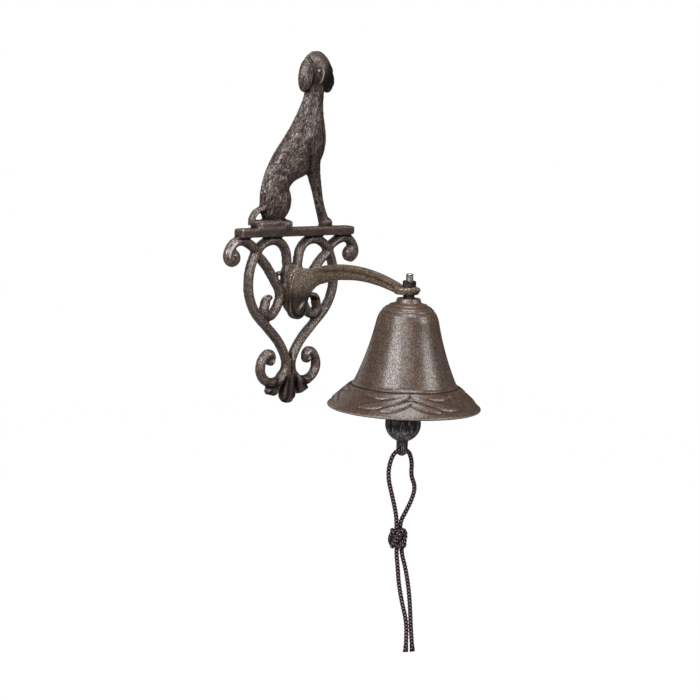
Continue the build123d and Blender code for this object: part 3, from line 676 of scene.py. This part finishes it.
def braided(name, places, fray=0.0):
    """Plait strands round a core along a line: half wind one way and half the other, over and under.

    Over the last stretch, fray metres long, the strands unwind and flare. Gives the piece and its line.
    """
    radius = cord_radius / 1000
    strand = radius * strand_share
    line, at = even_steps(places, plait_step)
    one, two = side_vectors(line)
    verts, faces, tint = [], [], []

    def tube(centre, first, second, size, shade, crest):
        """Add one closed tube, with its paleness point by point."""
        base, count = len(verts), len(centre)
        ring = np.linspace(0, 2 * np.pi, sides, endpoint=False)
        for k in range(count):
            for angle in ring:
                verts.append(centre[k] + size * (math.cos(angle) * first[k] + math.sin(angle) * second[k]))
                tint.append(shade * crest[k] * max(0.0, math.cos(angle)))
        for k in range(count - 1):
            for j in range(sides):
                a, b = base + k * sides + j, base + k * sides + (j + 1) % sides
                faces.append((a, b, b + sides, a + sides))
        faces.append(tuple(base + j for j in reversed(range(sides))))
        faces.append(tuple(base + (count - 1) * sides + j for j in range(sides)))

    tube(line, one, two, radius * core_share, 0.0, at)
    wound = 2 * np.pi * at / pitch
    past = at - at[-1] + fray
    loose = np.clip(past / (fray + 1e-9), 0, 1)
    for k in range(plaits):
        way, shade = (1, 1.0) if k % 2 else (-1, 0.6)
        lift = np.cos(plaits / 2 * wound + np.pi * (k % 2))
        flare = radius * (0.2 + 0.3 * (k % 3)) * loose ** 2
        out_by = radius - strand + strand * strand_dip * (lift - 1) + flare
        unwound = 0.7 * 2 * np.pi * past / pitch * (loose > 0)
        angle = way * (wound - unwound) + 2 * np.pi * (k // 2) / (plaits / 2)
        outward = np.cos(angle)[:, None] * one + np.sin(angle)[:, None] * two
        centre = line + out_by[:, None] * outward
        tangent = np.gradient(centre, axis=0)
        tangent /= np.linalg.norm(tangent, axis=1)[:, None]
        sideways = np.cross(tangent, outward) * strand_flat
        tube(centre, outward, sideways, strand, shade, np.clip(lift, 0, 1) ** 2)
    mesh = bpy.data.meshes.new(name)
    mesh.from_pydata([tuple(v) for v in verts], [], faces)
    mesh.update()
    piece = bpy.data.objects.new(name, mesh)
    bpy.context.scene.collection.objects.link(piece)
    give_attribute(piece, "strand", tint)
    pick_only(piece)
    bpy.ops.object.shade_smooth()
    return piece, line


def cord_yarn():
    """Dark plum-brown yarn with paler pinkish plaits and fine fibres."""
    made, wire, shader = new_material("plum_brown_yarn")
    place = wire.node("ShaderNodeTexCoord", None, None, 3)
    strand = wire.node("ShaderNodeAttribute", {"attribute_name": "strand"}, None, 2)
    fibre = speckle(wire, place, size=0.45).ramp(0.3, 0.7)
    fleck = speckle(wire, place, size=2.2, detail=2.0).ramp(0.4, 0.65)
    colour = (strand * 0.6 + fleck * 0.2).ramp(0.0, 1.0).shade((0.004, 0.0022, 0.0026), (0.030, 0.017, 0.019))
    colour = (strand.ramp(0.3, 0.55) * (0.6 + fibre * 0.4)).shade(colour, (0.58, 0.41, 0.43))
    rough = 0.72 + fibre * 0.2
    shader.inputs["Specular IOR Level"].default_value = 0.25
    wire_up(wire, shader, colour, rough, fibre, depth=0.00015, strength=0.7)
    return made


yarn = cord_yarn()
frayed = 0.006
loop_cord, loop_line = braided("cord_loop_braid", cord_line(along_wall(loop_route)))
left_cord, left_line = braided("cord_left_braid", cord_line(to_viewer(left_route, tail_gap)), frayed)
right_cord, right_line = braided("cord_right_braid", cord_line(to_viewer(right_route, -tail_gap)), frayed)
# Knot: the cord wound over and under itself into a tight ball
bights, leads = 5, 3
low, high = (1000 * np.array(corner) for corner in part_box("cord_knot"))
room = (high - low) / 2 - cord_radius
turns = np.linspace(0, 2 * np.pi, 720)
swell = room[0] * (0.73 + 0.27 * np.cos(bights * turns))
wrap = np.stack([
    swell * np.cos(leads * turns), swell * np.sin(leads * turns), room[2] * np.sin(bights * turns)], 1)
knot = braided("cord_knot_braid", (wrap + (low + high) / 2) / 1000)[0]
# The two legs of the loop run on through the ball to the tails
runs = [braided("cord_run", np.stack(ends))[0]
        for ends in ((loop_line[0], left_line[0]), (loop_line[-1], right_line[0]))]
pick_only(knot)
for piece in runs:
    piece.select_set(True)
bpy.ops.object.join()
for piece, node in ((loop_cord, "cord_loop"), (left_cord, "cord_tail_left"), (right_cord, "cord_tail_right"),
                    (knot, "cord_knot")):
    write_points(piece, read_points(piece), node)
    piece.data.materials.append(yarn)
    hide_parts(node)
    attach(piece, "clapper")


# Studio: white surroundings that light the object only faintly, a pale floor well below it, and five
# softboxes: a large key on the left, one overhead, and weaker ones on the right, in front and behind.
fill, mirrored = 0.04, 0.1
world = bpy.data.worlds.new("white_studio")
bpy.context.scene.world = world
world.use_nodes = True
tree = world.node_tree
tree.nodes.clear()
sky = Wire(tree)
camera_ray = sky.node("ShaderNodeLightPath", None, None, 0)
glossy_ray = sky.node("ShaderNodeLightPath", None, None, 3)
through_ray = sky.node("ShaderNodeLightPath", None, None, 6)
seen = (camera_ray + glossy_ray * mirrored + through_ray).ramp(0.0, 1.0)
strength = fill + seen * (1 - fill)
glow = sky.node("ShaderNodeBackground", None, {"Color": (1.0, 1.0, 1.0), "Strength": strength})
result = tree.nodes.new("ShaderNodeOutputWorld")
tree.links.new(glow.socket, result.inputs[0])

bpy.ops.object.select_all(action="DESELECT")
bpy.ops.mesh.primitive_plane_add(size=8.0, location=(0, 0, -0.9))
floor = bpy.context.object
floor.name = "studio_floor"
pale_floor = bpy.data.materials.new("pale_floor")
pale_floor.use_nodes = True
tree = pale_floor.node_tree
tree.nodes.clear()
paint = Wire(tree)
matt = paint.node("ShaderNodeBsdfDiffuse", None, {"Color": (0.55, 0.55, 0.55)})
white = paint.node("ShaderNodeEmission", None, {"Color": (1.0, 1.0, 1.0), "Strength": 1.06})
whitened = paint.node("ShaderNodeLightPath", None, None, 0) * 0.94
mixed = paint.node("ShaderNodeMixShader", None, {0: whitened, 1: matt, 2: white})
result = tree.nodes.new("ShaderNodeOutputMaterial")
tree.links.new(mixed.socket, result.inputs[0])
floor.data.materials.append(pale_floor)


def soft_lamp(name, place, aim, size, watts):
    """A square softbox at a place, turned to aim at a point."""
    light = bpy.data.lights.new(name, "AREA")
    light.size = size
    light.energy = watts
    lamp = bpy.data.objects.new(name, light)
    bpy.context.scene.collection.objects.link(lamp)
    lamp.location = place
    lamp.rotation_euler = (Vector(aim) - Vector(place)).to_track_quat("-Z", "Y").to_euler()


aim_point = (0.0, -0.08, 0.0)
soft_lamp("left_box", (-1.63, -0.46, 0.90), aim_point, size=1.1, watts=24.0)
soft_lamp("right_box", (0.66, -1.60, 0.85), aim_point, size=0.8, watts=11.0)
soft_lamp("front_box", (-1.15, -1.30, 0.60), aim_point, size=0.9, watts=5.0)
soft_lamp("top_box", (-0.2, -0.45, 1.7), aim_point, size=1.0, watts=17.0)
soft_lamp("back_box", (0.3, 1.7, 0.5), aim_point, size=1.2, watts=5.0)

# Camera: its focal length and the place of the object's origin are in pixels of a square picture
focal_px, picture_px, origin_across_px, origin_down_px = 2077.0, 700.0, 289.5, 277.0
sensor_mm, distance = 36.0, 1.8
turn_in, tip_down, roll = math.radians(42.0), math.radians(8.0), math.radians(2.4)
camera_data = bpy.data.cameras.new("photo_camera")
camera_data.lens = focal_px / picture_px * sensor_mm
camera_data.sensor_width = sensor_mm
camera_data.clip_end = 50.0
camera = bpy.data.objects.new("photo_camera", camera_data)
bpy.context.scene.collection.objects.link(camera)
flat = math.cos(tip_down)
look = Vector((math.sin(turn_in) * flat, math.cos(turn_in) * flat, -math.sin(tip_down)))
level_right = Vector((math.cos(turn_in), -math.sin(turn_in), 0.0))
level_up = level_right.cross(look)
right = math.cos(roll) * level_right + math.sin(roll) * level_up
up = math.cos(roll) * level_up - math.sin(roll) * level_right
aside_px, above_px = origin_across_px - picture_px / 2, picture_px / 2 - origin_down_px
eye = -(look * focal_px + right * aside_px + up * above_px) * (distance / focal_px)
camera.matrix_world = Matrix((
    (right.x, up.x, -look.x, eye.x),
    (right.y, up.y, -look.y, eye.y),
    (right.z, up.z, -look.z, eye.z),
    (0, 0, 0, 1),
))
bpy.context.scene.camera = camera
bpy.context.scene.view_settings.view_transform = "Standard"
